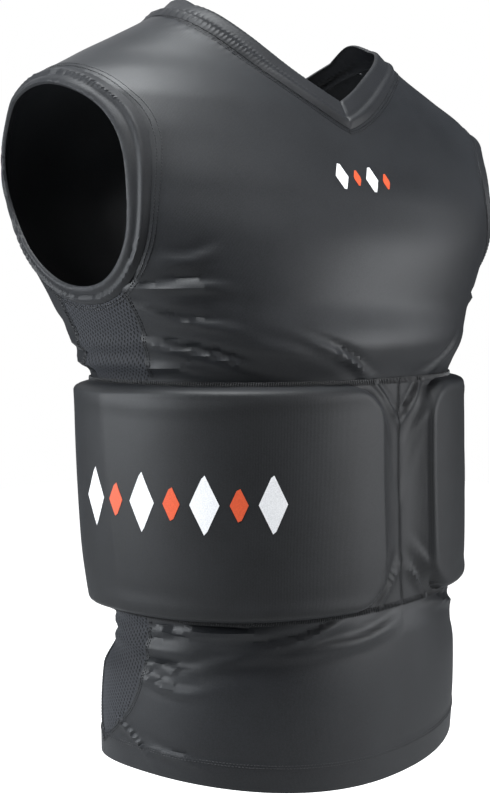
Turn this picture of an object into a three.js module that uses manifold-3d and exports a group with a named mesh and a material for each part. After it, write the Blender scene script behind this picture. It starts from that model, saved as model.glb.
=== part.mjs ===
// A sleeveless V-neck compression shirt with a padded band round the ribs, shown as it is worn.
// Millimetres, +Z up. The front faces -Y, so the wearer's right side is at -X.
// The torso is built with its hem at height 0, then the group sets the origin between the shoulders.

import * as THREE from "three";
import { mergeVertices } from "three/addons/utils/BufferGeometryUtils.js";
import Module from "manifold-3d";

const wasm = await Module();
wasm.setup();

// The worn body: overall sizes that the sections table follows.
const garmentHeight = 650;
const shoulderWidth = 480;
const chestDepth = 280;
const shoulderSetback = 14;
const shoulderTurn = -9;
const shoulderTilt = 2.4;
const neckTilt = 3;
const hemDrop = 9;
const hemRise = 8;

// Cloth.
const clothWall = 1.6;
const seamGap = 0.4;
const layerGap = 0.4;
const columnCount = 40;

// Rib band: foam plates in cloth pockets.
const bandBottom = 141;
const bandHeight = 186;
const padThickness = 14;
const padFrontInset = 32;
const padBackInset = 38;
const padFrontCorner = 36;
const padBackCorner = 22;
const pocketWall = 1.3;
const pocketFlange = 5;

// Armholes, as ovals seen from the side.
const armholeBottom = 394;
const armholeHeight = 180;
const armholeLength = 186;
const armholeCentre = 8;
const armholePower = 2.15;
const armholeBandWidth = 11;

// Neck: the height of the collar's seam at the sides, and how far it drops in front and behind.
const neckHalfWidth = 119;
const neckSideHeight = 628;
const neckFrontDrop = 87;
const neckBackDrop = 58;
const neckPower = 1.22;
const collarWidth = 22;
const bandRise = 1;
const bandUnder = 1.9;

// Side panels of open mesh.
const sidePanelLength = 90;
const sidePanelCentre = 12;
const sidePanelTip = 16;
const shoulderSeamSetback = 12;
const shoulderRestHeight = 606;

// Sections of the torso. Height is a share of garmentHeight, half width of half the shoulder width,
// front and back of half the chest depth, turn of shoulderTurn and setback of shoulderSetback.
const sectionColumns = ["height", "halfWidth", "front", "back", "frontPower", "backPower", "turn", "setback"];
const sectionTable = [
  [-0.03, 0.748, 1.023, 0.826, 2.3, 2.3, -0.55, 0],
  [0.0, 0.752, 1.03, 0.82, 2.3, 2.3, -0.55, 0],
  [0.062, 0.757, 1.05, 0.806, 2.3, 2.3, -0.55, 0],
  [0.123, 0.75, 1.055, 0.775, 2.3, 2.3, -0.55, 0],
  [0.172, 0.708, 1.05, 0.615, 2.3, 2.3, -0.55, 0],
  [0.217, 0.725, 1.01, 0.67, 2.3, 2.7, -0.55, 0],
  [0.308, 0.737, 0.99, 0.715, 2.3, 2.9, -0.55, 0],
  [0.403, 0.741, 0.975, 0.755, 2.3, 2.9, -0.55, 0],
  [0.503, 0.742, 0.971, 0.8, 2.3, 2.9, -0.55, 0],
  [0.557, 0.79, 1.05, 0.9, 2.3, 2.9, -0.3, 0],
  [0.611, 0.85, 1.01, 1.03, 2.3, 2.9, 0.11, 0],
  [0.677, 0.93, 1.03, 1.11, 2.2, 3.0, 0.56, 0.21],
  [0.738, 0.985, 1.0, 1.08, 2.2, 3.0, 0.89, 0.57],
  [0.8, 1.017, 0.914, 0.974, 2.2, 2.8, 1.0, 0.86],
  [0.846, 1.0, 0.836, 0.85, 2.15, 2.6, 1.0, 1.0],
  [0.88, 0.93, 0.736, 0.736, 2.1, 2.4, 1.0, 1.0],
  [0.911, 0.795, 0.643, 0.6, 2.0, 2.2, 1.0, 1.0],
  [0.938, 0.65, 0.586, 0.529, 2.0, 2.1, 1.0, 1.0],
  [0.963, 0.525, 0.543, 0.471, 2.0, 2.0, 1.0, 1.0],
  [0.989, 0.421, 0.529, 0.414, 2.0, 2.0, 1.0, 1.0],
  [1.018, 0.367, 0.514, 0.371, 2.0, 2.0, 1.0, 1.0],
];

// Rolls of slack cloth at the sides. Height and spread are shares of garmentHeight, rise of chestDepth,
// around and reach are shares of the way round from the centre front.
const foldColumns = ["height", "spread", "rise", "around", "reach"];
const foldTable = [
  [0.168, 0.012, 0.021, 0.29, 0.075],
  [0.532, 0.0085, 0.015, 0.285, 0.07],
  [0.5545, 0.009, 0.011, 0.295, 0.06],
];

// Heights of the shell's rows, as shares of garmentHeight.
const rowShares = [
  0, 0.045, 0.1, 0.153, 0.168, 0.183, 0.2, 0.217, 0.36, 0.508, 0.52, 0.532, 0.5435, 0.5545, 0.575, 0.615,
  0.665, 0.715, 0.76, 0.8, 0.838, 0.87, 0.897, 0.922, 0.946, 0.97, 0.993, 1.014,
];

// The side panel's front and back seams. Height is a share of the armhole's bottom height,
// front and back are shares of half the panel's length from its centre line.
const sidePanelColumns = ["height", "front", "back"];
const sidePanelTable = [
  [1.09, -1.05, 0.75],
  [1.0, -1.1, 0.84],
  [0.83, -0.64, 0.89],
  [0.5, -0.52, 0.95],
  [0.3, -0.44, 1.0],
  [0.215, -0.4, 1.02],
  [0.158, -0.24, 1.0],
  [0.127, -0.06, 0.98],
  [0.086, 0.3, 0.92],
];

// The table's rows as objects with named values.
function namedRows(columns, rows) {
  return rows.map((row) => Object.fromEntries(columns.map((name, i) => [name, row[i]])));
}

// A smooth curve through a column of a table, with no overshoot between its rows.
function smoothColumn(xs, ys) {
  const count = xs.length;
  const slope = xs.slice(1).map((x, i) => (ys[i + 1] - ys[i]) / (x - xs[i]));
  const tangent = ys.map((_, i) => {
    if (i === 0) return slope[0];
    if (i === count - 1) return slope[count - 2];
    if (slope[i - 1] * slope[i] <= 0) return 0;
    return (2 * slope[i - 1] * slope[i]) / (slope[i - 1] + slope[i]);
  });
  return (x) => {
    let i = 0;
    while (i < count - 2 && x > xs[i + 1]) i += 1;
    const span = xs[i + 1] - xs[i];
    const s = THREE.MathUtils.clamp((x - xs[i]) / span, 0, 1);
    const s2 = s * s;
    const s3 = s2 * s;
    return (
      (2 * s3 - 3 * s2 + 1) * ys[i] +
      (s3 - 2 * s2 + s) * span * tangent[i] +
      (3 * s2 - 2 * s3) * ys[i + 1] +
      (s3 - s2) * span * tangent[i + 1]
    );
  };
}

const sections = namedRows(sectionColumns, sectionTable);
const sectionHeights = sections.map((row) => row.height * garmentHeight);
const sectionCurve = Object.fromEntries(
  sectionColumns.map((name) => [name, smoothColumn(sectionHeights, sections.map((row) => row[name]))]),
);

// One closed outline of the torso at a height, with its running length from the centre front.
const outlineSamples = 240;
const outlineCache = new Map();
function outlineAt(z) {
  if (outlineCache.has(z)) return outlineCache.get(z);
  const halfWidth = (sectionCurve.halfWidth(z) * shoulderWidth) / 2;
  const front = (sectionCurve.front(z) * chestDepth) / 2;
  const back = (sectionCurve.back(z) * chestDepth) / 2;
  const setback = sectionCurve.setback(z) * shoulderSetback;
  const points = [];
  const lengths = [0];
  for (let i = 0; i <= outlineSamples; i += 1) {
    const angle = (i / outlineSamples) * 2 * Math.PI - Math.PI / 2;
    const c = Math.cos(angle);
    const s = Math.sin(angle);
    const power = 2 / (s < 0 ? sectionCurve.frontPower(z) : sectionCurve.backPower(z));
    const x = halfWidth * Math.sign(c) * Math.abs(c) ** power;
    const y = (s < 0 ? front : back) * Math.sign(s) * Math.abs(s) ** power + setback;
    points.push([x, y]);
    if (i > 0) lengths.push(lengths[i - 1] + Math.hypot(x - points[i - 1][0], y - points[i - 1][1]));
  }
  const outline = { points, lengths };
  outlineCache.set(z, outline);
  return outline;
}

// A point of the torso, at a share of the way round from the centre front and at a height.
function torsoPoint(around, z) {
  const { points, lengths } = outlineAt(z);
  const target = (around - Math.floor(around)) * lengths[outlineSamples];
  let low = 0;
  let high = outlineSamples;
  while (high - low > 1) {
    const middle = (low + high) >> 1;
    if (lengths[middle] > target) high = middle;
    else low = middle;
  }
  const s = (target - lengths[low]) / (lengths[high] - lengths[low]);
  const x = points[low][0] + s * (points[high][0] - points[low][0]);
  const y = points[low][1] + s * (points[high][1] - points[low][1]);
  return new THREE.Vector3(x, y, z);
}

const normalStep = garmentHeight / 400;
const aroundStep = 0.004;
function torsoNormal(around, z) {
  const alongRing = torsoPoint(around + aroundStep, z).sub(torsoPoint(around - aroundStep, z));
  const alongHeight = torsoPoint(around, z + normalStep).sub(torsoPoint(around, z - normalStep));
  return alongRing.cross(alongHeight).normalize();
}

// How far the slack cloth stands out of the body at a point.
const folds = namedRows(foldColumns, foldTable);
function foldRise(around, z) {
  const mirrored = Math.min(around, 1 - around);
  let rise = 0;
  for (const fold of folds) {
    const up = (z / garmentHeight - fold.height) / fold.spread;
    const along = (mirrored - fold.around) / fold.reach;
    rise += fold.rise * chestDepth * Math.exp(-up * up - along * along * along * along);
  }
  return rise;
}

// The rows of the shell that a band between two heights needs.
function rowsAround(low, high) {
  const below = rowShares.filter((share) => share * garmentHeight < low);
  const above = rowShares.filter((share) => share * garmentHeight > high);
  return rowShares.filter((share) => share >= below[below.length - 1] && share <= above[0]);
}

// A closed shell that follows the torso between two offsets, with its walls parallel.
function shellSolid(rows, innerOffset, outerOffset) {
  const positions = [];
  for (const offset of [outerOffset, innerOffset]) {
    for (const share of rows) {
      for (let column = 0; column < columnCount; column += 1) {
        const around = column / columnCount;
        const z = share * garmentHeight;
        const rise = offset + foldRise(around, z);
        const point = torsoPoint(around, z).addScaledVector(torsoNormal(around, z), rise);
        positions.push(point.x, point.y, point.z);
      }
    }
  }
  const layer = rows.length * columnCount;
  const index = [];
  const quad = (a, b, c, d) => index.push(a, b, c, a, c, d);
  for (let column = 0; column < columnCount; column += 1) {
    const next = (column + 1) % columnCount;
    for (let row = 0; row + 1 < rows.length; row += 1) {
      const low = row * columnCount;
      const high = low + columnCount;
      quad(low + column, low + next, high + next, high + column);
      quad(layer + low + column, layer + high + column, layer + high + next, layer + low + next);
    }
    const top = (rows.length - 1) * columnCount;
    quad(layer + column, layer + next, next, column);
    quad(top + column, top + next, layer + top + next, layer + top + column);
  }
  const geometry = new THREE.BufferGeometry();
  geometry.setAttribute("position", new THREE.Float32BufferAttribute(positions, 3));
  geometry.setIndex(index);
  return solidOf(geometry);
}

// Solids for cutting and joining.
function solidOf(geometry) {
  const bare = geometry.clone();
  bare.deleteAttribute("normal");
  bare.deleteAttribute("uv");
  const merged = mergeVertices(bare, 1e-4);
  const mesh = new wasm.Mesh({
    numProp: 3,
    vertProperties: merged.attributes.position.array,
    triVerts: new Uint32Array(merged.index.array),
  });
  return new wasm.Manifold(mesh);
}

const reach = shoulderWidth;

function prism(outline, depth) {
  const shape = new THREE.Shape(outline.map(([x, y]) => new THREE.Vector2(x, y)));
  return new THREE.ExtrudeGeometry(shape, { depth, bevelEnabled: false, curveSegments: 1 });
}

// An outline in Y and Z, carried from one X to another.
function prismAlongX(outline, fromX, toX) {
  const geometry = prism(outline, toX - fromX);
  const turn = new THREE.Matrix4().set(0, 0, 1, fromX, 1, 0, 0, 0, 0, 1, 0, 0, 0, 0, 0, 1);
  return solidOf(geometry.applyMatrix4(turn));
}

// An outline in X and Z, carried from one Y to another.
function prismAlongY(outline, fromY, toY) {
  const geometry = prism(outline, toY - fromY);
  geometry.rotateX(Math.PI / 2).translate(0, toY, 0);
  return solidOf(geometry);
}

// The outline moved outwards by a distance. Its points run anticlockwise.
function grown(outline, distance) {
  const count = outline.length;
  return outline.map((point, i) => {
    const before = outline[(i + count - 1) % count];
    const after = outline[(i + 1) % count];
    const a = new THREE.Vector2(point[0] - before[0], point[1] - before[1]).normalize();
    const b = new THREE.Vector2(after[0] - point[0], after[1] - point[1]).normalize();
    const out = new THREE.Vector2(a.y + b.y, -a.x - b.x).normalize();
    const mitre = distance / Math.max(0.5, out.dot(new THREE.Vector2(a.y, -a.x)));
    return [point[0] + out.x * mitre, point[1] + out.y * mitre];
  });
}

// Armholes.
function armholeOutline(grow) {
  const steps = 30;
  const halfLength = armholeLength / 2;
  const halfHeight = armholeHeight / 2;
  const outline = [];
  for (let i = 0; i < steps; i += 1) {
    const angle = (i / steps) * 2 * Math.PI;
    const c = Math.cos(angle);
    const s = Math.sin(angle);
    outline.push([
      armholeCentre + halfLength * Math.sign(c) * Math.abs(c) ** (2 / armholePower),
      armholeBottom + halfHeight + halfHeight * Math.sign(s) * Math.abs(s) ** (2 / armholePower),
    ]);
  }
  return grown(outline, grow);
}

// Neck: a V in front and a shallow scoop behind, which share the same sides.
function neckOutline(grow, drop, power) {
  const steps = 8;
  const bottom = neckSideHeight - drop;
  const half = [];
  for (let i = 1; i <= steps; i += 1) {
    const x = (i / steps) * neckHalfWidth;
    half.push([x, bottom + drop * (i / steps) ** power]);
  }
  const top = garmentHeight * 1.2;
  const left = half.map(([x, z]) => [-x, z]).reverse();
  const outline = [[0, bottom], ...half, [neckHalfWidth, top], [-neckHalfWidth, top], ...left];
  return grown(outline, grow);
}

function neckSpace(grow) {
  const join = shoulderSetback + seamGap;
  const backPower = 3;
  const front = prismAlongY(neckOutline(grow, neckFrontDrop, neckPower), -reach, join);
  const back = prismAlongY(neckOutline(grow, neckBackDrop, backPower), shoulderSetback, reach);
  return front.add(back);
}

// Side panels.
function sidePanelOutline(grow) {
  const rows = namedRows(sidePanelColumns, sidePanelTable);
  const half = sidePanelLength / 2;
  const place = (share, row) => [sidePanelCentre + share * half, row.height * armholeBottom];
  const front = rows.map((row) => place(row.front, row));
  const back = rows.map((row) => place(row.back, row)).reverse();
  return grown([...front, [sidePanelTipPlace(), sidePanelTip], ...back], grow);
}

function sidePanelTipPlace() {
  const tipShare = 0.78;
  return sidePanelCentre + (tipShare * sidePanelLength) / 2;
}

// Everything in front of the side and shoulder seams, or behind them.
function frontSpace(shift) {
  const far = reach;
  const top = garmentHeight * 1.2;
  const seam = [
    [sidePanelTipPlace() + shift, -far],
    [sidePanelTipPlace() + shift, sidePanelTip * 2],
    [sidePanelCentre + shift, armholeBottom * 0.9],
    [shoulderSetback + shoulderSeamSetback + shift, armholeBottom + armholeHeight],
    [shoulderSetback + shoulderSeamSetback + shift, top],
  ];
  return prismAlongX([[-far, -far], ...seam, [-far, top]], -reach, reach);
}

// The part of space on one side of the centre plane: side is 1 for +X and -1 for -X.
function sideSpace(side, gap) {
  const far = reach * 2;
  const fromX = side > 0 ? gap / 2 : -far;
  const toX = side > 0 ? far : -gap / 2;
  return prismAlongX([[-far, -far], [far, -far], [far, far], [-far, far]], fromX, toX);
}

// The space of one pad in front of or behind the wearer, seen along Y, with round inner corners.
function padOutline(side, inset, corner, grow) {
  const arcSteps = 4;
  const low = bandBottom;
  const high = bandBottom + bandHeight;
  const outline = [[reach, low], [reach, high]];
  for (let i = 0; i <= arcSteps; i += 1) {
    const angle = Math.PI / 2 + (i / arcSteps) * (Math.PI / 2);
    outline.push([inset + corner + corner * Math.cos(angle), high - corner + corner * Math.sin(angle)]);
  }
  for (let i = 0; i <= arcSteps; i += 1) {
    const angle = Math.PI + (i / arcSteps) * (Math.PI / 2);
    outline.push([inset + corner + corner * Math.cos(angle), low + corner + corner * Math.sin(angle)]);
  }
  const larger = grown(outline, grow);
  return side > 0 ? larger : larger.map(([x, z]) => [-x, z]).reverse();
}

function padSpace(side, grow) {
  const front = prismAlongY(padOutline(side, padFrontInset, padFrontCorner, grow), -reach, seamGap);
  const back = prismAlongY(padOutline(side, padBackInset, padBackCorner, grow), 0, reach);
  return front.add(back);
}

// The pieces.
const bodyShell = shellSolid(rowShares, -clothWall, 0);
const bandShell = shellSolid(rowShares, -bandUnder, bandRise);
const bandRows = rowsAround(bandBottom - pocketFlange, bandBottom + bandHeight + pocketFlange);
const frontHalf = frontSpace(-seamGap / 2);
const backHalf = sideSpace(1, -reach * 4).subtract(frontSpace(seamGap / 2));
const seamHalf = seamGap / 2;

function bodyPanel(half) {
  return bodyShell
    .subtract(prismAlongX(sidePanelOutline(seamHalf), -reach, reach))
    .subtract(prismAlongX(armholeOutline(seamHalf), -reach, reach))
    .subtract(neckSpace(seamHalf))
    .intersect(half);
}

function sideMesh(side) {
  return bodyShell
    .intersect(prismAlongX(sidePanelOutline(-seamHalf), -reach, reach))
    .subtract(prismAlongX(armholeOutline(seamHalf), -reach, reach))
    .intersect(sideSpace(side, 0));
}

function armholeBand(side) {
  return bandShell
    .intersect(prismAlongX(armholeOutline(-seamHalf), -reach, reach))
    .subtract(prismAlongX(armholeOutline(-armholeBandWidth), -reach, reach))
    .intersect(sideSpace(side, 0));
}

function collar() {
  return bandShell.intersect(neckSpace(-seamHalf)).subtract(neckSpace(-collarWidth));
}

function ribPad(side) {
  return shellSolid(bandRows, layerGap, layerGap + padThickness)
    .intersect(padSpace(side, 0))
    .intersect(sideSpace(side, 0));
}

function pocket(side) {
  const innerTop = layerGap + padThickness + seamGap;
  const low = bandBottom - pocketFlange;
  const high = bandBottom + bandHeight + pocketFlange;
  const flangeOutline = [[-reach, low], [reach, low], [reach, high], [-reach, high]];
  const flange = shellSolid(bandRows, layerGap, layerGap + pocketWall)
    .intersect(prismAlongX(flangeOutline, -reach, reach))
    .intersect(sideSpace(side, seamGap));
  const hollow = shellSolid(bandRows, -clothWall, innerTop).intersect(padSpace(side, seamGap));
  return shellSolid(bandRows, layerGap, innerTop + pocketWall)
    .intersect(padSpace(side, seamGap + pocketWall))
    .intersect(sideSpace(side, seamGap))
    .add(flange)
    .subtract(hollow);
}

// The worn pose: the shoulders turn over the hips and tilt up on the right, and the hem's sides ride up.
function posed(geometry) {
  const position = geometry.attributes.position;
  const shoulderSlope = Math.tan(THREE.MathUtils.degToRad(shoulderTilt));
  const neckSlope = Math.tan(THREE.MathUtils.degToRad(neckTilt));
  const armholeTop = armholeBottom + armholeHeight;
  for (let i = 0; i < position.count; i += 1) {
    const x = position.getX(i);
    const y = position.getY(i);
    const z = position.getZ(i);
    const turn = sectionCurve.turn(z);
    const angle = THREE.MathUtils.degToRad(turn * shoulderTurn);
    const neckShare = THREE.MathUtils.smoothstep(z, armholeTop, garmentHeight);
    const tilted = x * (shoulderSlope * THREE.MathUtils.clamp(turn, 0, 1) + neckSlope * neckShare);
    const height = z - tilted + hemShift(x, z);
    position.setXYZ(i, x * Math.cos(angle) - y * Math.sin(angle), x * Math.sin(angle) + y * Math.cos(angle), height);
  }
  return geometry;
}

// How far the cloth under the band is pulled down in the middle and up at the sides.
function hemShift(x, z) {
  const hemHalfWidth = (sectionCurve.halfWidth(0) * shoulderWidth) / 2;
  const fade = THREE.MathUtils.clamp(1 - z / bandBottom, 0, 1) ** 1.5;
  const aside = (x / hemHalfWidth) ** 2;
  return ((hemDrop + hemRise) * aside - hemDrop) * fade;
}

function geometryOf(solid) {
  const mesh = solid.getMesh();
  const geometry = new THREE.BufferGeometry();
  geometry.setAttribute("position", new THREE.Float32BufferAttribute(mesh.vertProperties, 3));
  geometry.setIndex(new THREE.Uint32BufferAttribute(mesh.triVerts, 1));
  return posed(geometry);
}

function cloth(color, roughness) {
  return new THREE.MeshStandardMaterial({ color, roughness, metalness: 0 });
}

const stretchCloth = 0x2b2d31;
const bandCloth = 0x222428;
const meshCloth = 0x1c1d20;
const foam = 0x3a3b3d;

const shirt = new THREE.Group();
function piece(name, solid, color, roughness) {
  const mesh = new THREE.Mesh(geometryOf(solid), cloth(color, roughness));
  mesh.name = name;
  mesh.geometry.computeVertexNormals();
  shirt.add(mesh);
}

piece("front_panel", bodyPanel(frontHalf), stretchCloth, 0.72);
piece("back_panel", bodyPanel(backHalf), stretchCloth, 0.72);
piece("side_mesh_right", sideMesh(-1), meshCloth, 0.85);
piece("side_mesh_left", sideMesh(1), meshCloth, 0.85);
piece("collar_band", collar(), bandCloth, 0.7);
piece("armhole_band_right", armholeBand(-1), bandCloth, 0.7);
piece("armhole_band_left", armholeBand(1), bandCloth, 0.7);
piece("rib_pad_right", ribPad(-1), foam, 0.9);
piece("rib_pad_left", ribPad(1), foam, 0.9);
piece("pocket_right", pocket(-1), stretchCloth, 0.68);
piece("pocket_left", pocket(1), stretchCloth, 0.68);
shirt.position.set(0, -shoulderSetback, -shoulderRestHeight);

const part = new THREE.Group();
part.add(shirt);

export default part;
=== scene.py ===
# A sleeveless V-neck compression shirt with a padded band round the ribs: cloth, foam, seams and print.
# Lengths in this script are millimetres from the hem's level, and place() turns them into the frame's metres.

import math

import bpy
import numpy as np
from mathutils import Matrix, Vector


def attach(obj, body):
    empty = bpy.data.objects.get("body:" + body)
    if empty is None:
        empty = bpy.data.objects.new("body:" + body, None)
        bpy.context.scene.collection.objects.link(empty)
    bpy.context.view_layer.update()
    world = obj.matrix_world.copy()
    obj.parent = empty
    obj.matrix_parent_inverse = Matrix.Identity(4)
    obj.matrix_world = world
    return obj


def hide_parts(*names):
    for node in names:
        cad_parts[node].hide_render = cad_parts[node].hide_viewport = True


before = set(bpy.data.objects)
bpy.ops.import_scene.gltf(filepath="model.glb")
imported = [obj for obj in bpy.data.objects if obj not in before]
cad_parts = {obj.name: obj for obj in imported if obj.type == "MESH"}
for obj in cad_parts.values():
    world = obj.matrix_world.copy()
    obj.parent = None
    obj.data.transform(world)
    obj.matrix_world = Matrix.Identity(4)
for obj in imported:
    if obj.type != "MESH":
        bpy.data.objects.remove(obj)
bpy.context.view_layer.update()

# Overall sizes.
GARMENT_HEIGHT = 650.0
SHOULDER_WIDTH = 480.0
CHEST_DEPTH = 280.0
SHOULDER_SETBACK = 14.0
SHOULDER_TURN = -9.0
SHOULDER_TILT = 2.4
NECK_TILT = 3.0
HEM_DROP = 9.0
HEM_RISE = 8.0
SHOULDER_REST = 606.0
CLOTH_WALL = 1.4

# Rib band.
BAND_BOTTOM = 141.0
BAND_HEIGHT = 186.0
BAND_TOP = BAND_BOTTOM + BAND_HEIGHT
PAD_THICKNESS = 14.0
PAD_FRONT = 32.0
PAD_BACK = 38.0
PAD_FRONT_CORNER = 36.0
PAD_BACK_CORNER = 22.0
FLANGE = 5.0
COVER_WALL = 1.1
LAYER_GAP = 0.6

# Armholes, neck and side panels.
ARMHOLE_BOTTOM = 394.0
ARMHOLE_HEIGHT = 180.0
ARMHOLE_LENGTH = 186.0
ARMHOLE_CENTRE = 8.0
ARMHOLE_POWER = 2.15
ARMHOLE_BAND = 11.0
NECK_HALF_WIDTH = 119.0
NECK_SIDE_HEIGHT = 628.0
NECK_SEAM_FRONT = 541.0
NECK_SEAM_BACK = 570.0
NECK_POWER = 1.22
COLLAR_WIDTH = 22.0
BAND_LIP = 1.4
MESH_LAP = 1.4
MESH_DROP = 0.35
SEAM_HALF_GAP = 0.15
BAND_WALL = 2.4
BAND_PROUD = 0.9
COLLAR_SEAM = 8.6
HEM_FOLD = 24.0
NECK_BLEND = 6.0
NECK_POINTS = 17
PANEL_LENGTH = 90.0
PANEL_CENTRE = 12.0
PANEL_TIP = 16.0
SHOULDER_SEAM_SETBACK = 12.0

# Thread: distances of the stitch rows from their seam, heights of the hem's rows, and lifts off the cloth.
STITCH_ROWS = (3.4, 5.4)
PANEL_STITCH_ROWS = (2.2, 4.2)
HEM_STITCH_ROWS = (20.5, 22.6)
STITCH_LIFT = 0.12
SIDE_STITCH_LIFT = 0.1
BAND_OVERLOCK_LIFT = 0.45
CENTRE_OVERLOCK_LIFT = 0.35
OVERLOCK_WIDTH = 5.6
OVERLOCK_OFFSET = 2.5
PATH_SPACING = 2.0
SEARCH_COUNT = 241

# Print film: the heights of its two faces above the cloth.
FILM_LOW, FILM_HIGH = 0.12, 0.34

# Flat sizes of the cut cloth, width and length in metres, with its area in square metres.
FRONT_FLAT, FRONT_AREA = (0.56, 0.66), 0.304
BACK_FLAT, BACK_AREA = (0.56, 0.64), 0.264
SIDE_MESH_FLAT, SIDE_MESH_AREA = (0.11, 0.40), 0.0276
COLLAR_FLAT, COLLAR_AREA = (0.81, 0.029), 0.0234
ARMHOLE_FLAT, ARMHOLE_AREA = (0.62, 0.0197), 0.0121
POCKET_FLAT, POCKET_AREA = (0.52, 0.24), 0.1186

SECTION_COLUMNS = ["height", "half_width", "front", "back", "front_power", "back_power", "turn", "setback"]
SECTION_TABLE = [
    [-0.03, 0.748, 1.023, 0.826, 2.3, 2.3, -0.55, 0],
    [0.0, 0.752, 1.03, 0.82, 2.3, 2.3, -0.55, 0],
    [0.062, 0.757, 1.05, 0.806, 2.3, 2.3, -0.55, 0],
    [0.123, 0.75, 1.055, 0.775, 2.3, 2.3, -0.55, 0],
    [0.172, 0.708, 1.05, 0.615, 2.3, 2.3, -0.55, 0],
    [0.217, 0.725, 1.01, 0.67, 2.3, 2.7, -0.55, 0],
    [0.308, 0.737, 0.99, 0.715, 2.3, 2.9, -0.55, 0],
    [0.403, 0.741, 0.975, 0.755, 2.3, 2.9, -0.55, 0],
    [0.503, 0.742, 0.971, 0.8, 2.3, 2.9, -0.55, 0],
    [0.557, 0.79, 1.05, 0.9, 2.3, 2.9, -0.3, 0],
    [0.611, 0.85, 1.01, 1.03, 2.3, 2.9, 0.11, 0],
    [0.677, 0.93, 1.03, 1.11, 2.2, 3.0, 0.56, 0.21],
    [0.738, 0.985, 1.0, 1.08, 2.2, 3.0, 0.89, 0.57],
    [0.8, 1.017, 0.914, 0.974, 2.2, 2.8, 1.0, 0.86],
    [0.846, 1.0, 0.836, 0.85, 2.15, 2.6, 1.0, 1.0],
    [0.88, 0.93, 0.736, 0.736, 2.1, 2.4, 1.0, 1.0],
    [0.911, 0.795, 0.643, 0.6, 2.0, 2.2, 1.0, 1.0],
    [0.938, 0.65, 0.586, 0.529, 2.0, 2.1, 1.0, 1.0],
    [0.963, 0.525, 0.543, 0.471, 2.0, 2.0, 1.0, 1.0],
    [0.989, 0.421, 0.529, 0.414, 2.0, 2.0, 1.0, 1.0],
    [1.018, 0.367, 0.514, 0.371, 2.0, 2.0, 1.0, 1.0],
]

# Rolls of slack cloth: height, spread (shares of the height), rise (share of the depth), around, reach.
FOLD_TABLE = [
    [0.168, 0.012, 0.021, 0.29, 0.075],
    [0.532, 0.0085, 0.015, 0.285, 0.07],
    [0.5545, 0.009, 0.011, 0.295, 0.06],
]

# Side panel seams: height (share of the armhole's bottom), front and back (shares of half its length).
PANEL_TABLE = [
    [1.09, -1.05, 0.75],
    [1.0, -1.1, 0.84],
    [0.83, -0.64, 0.89],
    [0.5, -0.52, 0.95],
    [0.3, -0.44, 1.0],
    [0.215, -0.4, 1.02],
    [0.158, -0.24, 1.0],
    [0.127, -0.06, 0.98],
    [0.086, 0.3, 0.92],
]
PANEL_TIP_SHARE = 0.78

# Wrinkles in the stretch cloth: side (-1 right, 1 left), run from the centre front and height of the
# middle, half length, slope, half width, rise. Millimetres, and the slope is a share.
WRINKLE_DEPTH = 1.7
WRINKLE_TABLE = [
    [-1, 202, 405, 40, 0.03, 3.2, 2.1],
    [-1, 198, 381, 38, 0.26, 3.8, 1.5],
    [-1, 196, 354, 48, 0.24, 3.6, 2.4],
    [-1, 182, 426, 24, -0.16, 4.0, 0.9],
    [-1, 214, 341, 30, 0.08, 3.4, 1.3],
    [-1, 66, 347, 34, 0.46, 4.2, 2.2],
    [-1, 110, 352, 40, 0.12, 6.0, 0.8],
    [1, 202, 403, 40, 0.05, 3.4, 1.8],
    [1, 196, 378, 40, 0.22, 3.8, 1.5],
    [1, 192, 352, 46, 0.2, 3.6, 2.1],
    [1, 70, 345, 32, 0.4, 4.2, 1.4],
    [-1, 200, 127, 52, -0.08, 2.6, 2.3],
    [-1, 116, 124, 44, -0.2, 3.4, 1.8],
    [-1, 60, 118, 50, -0.12, 4.6, 1.3],
    [-1, 232, 95, 27, -0.05, 3.2, 1.6],
    [-1, 230, 81, 28, 0.1, 3.2, 1.3],
    [-1, 150, 108, 46, -0.14, 4.4, 1.0],
    [-1, 264, 27, 24, 0.72, 2.6, 1.2],
    [-1, 226, 22, 30, 0.25, 3.0, 0.9],
    [1, 190, 126, 54, -0.06, 2.8, 2.0],
    [1, 96, 122, 60, -0.14, 4.0, 1.6],
    [1, 232, 92, 30, -0.04, 3.4, 1.4],
    [1, 160, 104, 50, -0.1, 4.6, 1.0],
    [1, 262, 27, 24, 0.7, 2.8, 1.0],
    [-1, 345, 122, 70, 0.05, 3.8, 1.9],
    [1, 345, 121, 70, -0.06, 3.8, 1.9],
    [-1, 390, 106, 50, 0.12, 4.4, 1.2],
    [1, 385, 104, 54, -0.1, 4.4, 1.2],
    [-1, 365, 352, 66, 0.1, 4.4, 1.7],
    [1, 360, 350, 66, -0.06, 4.4, 1.7],
    [-1, 400, 366, 46, -0.1, 5.4, 1.1],
    [1, 405, 370, 44, 0.12, 5.4, 1.1],
]


# Smooth interpolation between a table's rows, with no overshoot.
def smooth_column(xs, ys, x):
    slope = np.diff(ys) / np.diff(xs)
    tangent = np.empty_like(ys)
    tangent[0], tangent[-1] = slope[0], slope[-1]
    product = slope[:-1] * slope[1:]
    total = np.where(np.abs(slope[:-1] + slope[1:]) < 1e-12, 1.0, slope[:-1] + slope[1:])
    tangent[1:-1] = np.where(product > 0, 2 * product / total, 0.0)
    i = np.clip(np.searchsorted(xs, x) - 1, 0, len(xs) - 2)
    span = xs[i + 1] - xs[i]
    s = np.clip((x - xs[i]) / span, 0, 1)
    s2, s3 = s * s, s * s * s
    return (
        (2 * s3 - 3 * s2 + 1) * ys[i]
        + (s3 - 2 * s2 + s) * span * tangent[i]
        + (3 * s2 - 2 * s3) * ys[i + 1]
        + (s3 - s2) * span * tangent[i + 1]
    )


def smooth_step(x):
    x = np.clip(x, 0, 1)
    return x * x * (3 - 2 * x)


# A rounded ridge across a distance, or a dip where the height is negative.
def ridge(distance, centre, width, height):
    return height * np.exp(-(((distance - centre) / width) ** 2))


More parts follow.
